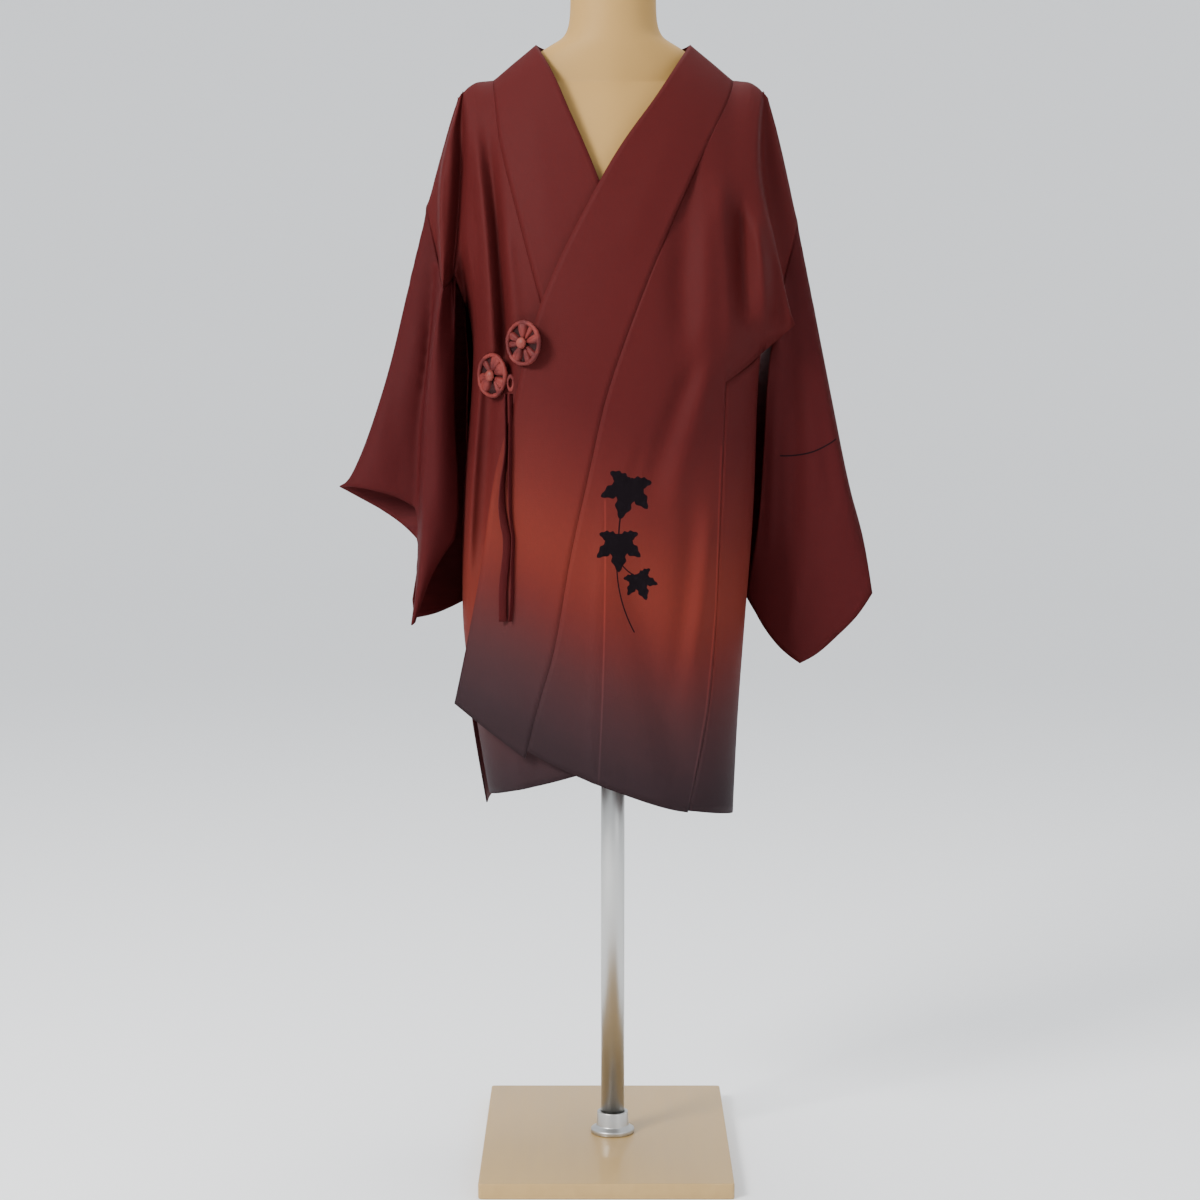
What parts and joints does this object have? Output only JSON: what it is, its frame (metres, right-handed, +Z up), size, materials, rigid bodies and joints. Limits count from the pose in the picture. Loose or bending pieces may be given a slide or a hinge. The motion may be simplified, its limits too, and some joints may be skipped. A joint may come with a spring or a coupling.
{
  "type": "wrap-front kimono coat on dress form",
  "caption": "Knee-length silk coat with a crossed collar, square hanging sleeves and rosette fastenings with two ties, worn closed on a limbless dress form with a pole and base board.",
  "frame": {"origin": "middle of the stand's underside, under the pole, on the floor", "axes": "+Z up; -Y is the way that the front of the coat faces; +X is the wearer's left, which is on the right for one who faces the coat"},
  "size_m": [0.6248, 0.4, 1.392],
  "materials": {
    "coat_cloth": "fine matte silk crepe",
    "rosette_cloth": "gathered silk crepe",
    "button_cloth": "covered button, satin silk",
    "form_cloth": "smooth stretched cotton",
    "stand_steel": "satin",
    "board_wood": "lacquered light wood"
  },
  "bodies": {
    "root": {"body_left": "coat_cloth", "body_right": "coat_cloth", "sleeve_left": "coat_cloth", "sleeve_right": "coat_cloth", "collar_left": "coat_cloth", "collar_right": "coat_cloth", "rosette_upper": "rosette_cloth", "rosette_lower": "rosette_cloth", "button_upper": "button_cloth", "button_lower": "button_cloth", "button_loop": "rosette_cloth", "tie_front": "coat_cloth", "tie_behind": "coat_cloth", "form_torso": "form_cloth", "stand_pole": "stand_steel", "pole_socket": "stand_steel", "base_board": "board_wood"}
  },
  "joints": []
}
